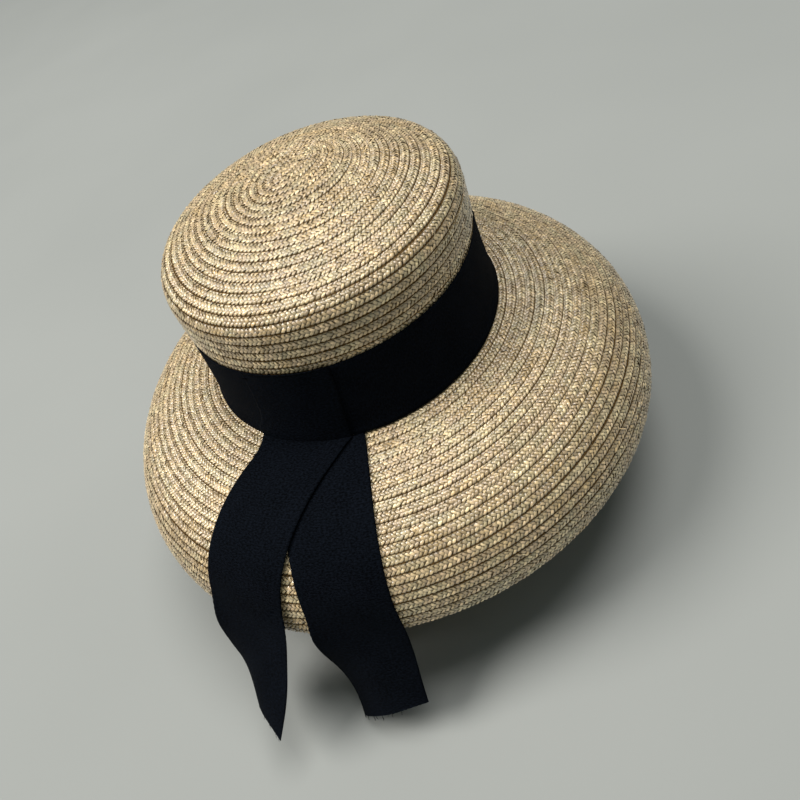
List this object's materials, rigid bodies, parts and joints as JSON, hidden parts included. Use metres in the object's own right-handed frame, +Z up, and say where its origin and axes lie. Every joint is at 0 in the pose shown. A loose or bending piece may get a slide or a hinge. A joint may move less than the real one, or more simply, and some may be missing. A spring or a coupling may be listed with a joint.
{
  "type": "straw sun hat",
  "caption": "Straw plait sun hat with a boater crown, a wide down-curved brim and a broad ribbon whose ends hang over the back.",
  "frame": {"origin": "middle of the hat's bounding box, at its bottom, which is the lowest point of the hanging ribbon; the centre of the head opening, level with the line where the crown meets the brim, is at (0, 0.0119, 0.1277)", "axes": "+Z up along the crown's axis, +Y towards the wearer's front, +X towards the wearer's right; the ribbon's ends hang at the back, on the -Y side"},
  "size_m": [0.3344, 0.3802, 0.2302],
  "materials": {
    "straw_plait": "sewn wheat-straw plait, golden, slightly glossy",
    "ribbon": "matt woven black ribbon",
    "cotton": "beige cotton tape",
    "label_cloth": "blank woven label",
    "cord": "braided cotton cord",
    "bead_wood": "turned, clear lacquer",
    "wire_cover": "steel wire wound with straw-coloured thread",
    "joiner_steel": "plain steel tube",
    "thread": "black sewing thread"
  },
  "bodies": {
    "hat": {"straw_crown": "straw_plait", "straw_brim": "straw_plait", "hat_band": "ribbon", "band_wrap": "ribbon", "tail_right_root": "ribbon", "sweatband": "cotton", "blank_label": "label_cloth", "size_cord": "cord", "brim_wire": "wire_cover", "wire_joiner": "joiner_steel", "band_stitch_1": "thread", "band_stitch_2": "thread", "band_stitch_3": "thread", "band_stitch_4": "thread", "wrap_stitch_1": "thread", "wrap_stitch_2": "thread"},
    "left_tail": {"tail_left": "ribbon"},
    "left_tail_end": {"tail_left_end": "ribbon"},
    "right_tail": {"tail_right": "ribbon"},
    "right_tail_end": {"tail_right_end": "ribbon"},
    "bead": {"cord_bead": "bead_wood"}
  },
  "joints": [
    {"name": "left_tail_lift", "type": "hinge", "parent": "hat", "child": "left_tail", "pos_m": [-0.02993, -0.08335, 0.12981], "axis": [-0.9351, 0.3543, 0], "range_deg": [0, 95]},
    {"name": "left_end_swing", "type": "hinge", "parent": "left_tail", "child": "left_tail_end", "pos_m": [-0.08462, -0.1456, 0.06588], "axis": [-0.8924, 0.4039, -0.2012], "range_deg": [-30, 90]},
    {"name": "right_tail_lift", "type": "hinge", "parent": "hat", "child": "right_tail", "pos_m": [-0.02057, -0.14112, 0.10777], "axis": [-0.9887, 0.1496, 0.0005], "range_deg": [0, 100]},
    {"name": "right_end_swing", "type": "hinge", "parent": "right_tail", "child": "right_tail_end", "pos_m": [-0.02237, -0.16285, 0.06413], "axis": [-0.9899, 0.1241, -0.0686], "range_deg": [-30, 90]},
    {"name": "bead_slide", "type": "slide", "parent": "hat", "child": "bead", "axis": [0, 0, 1], "range_m": [-0.006, 0.005]}
  ]
}
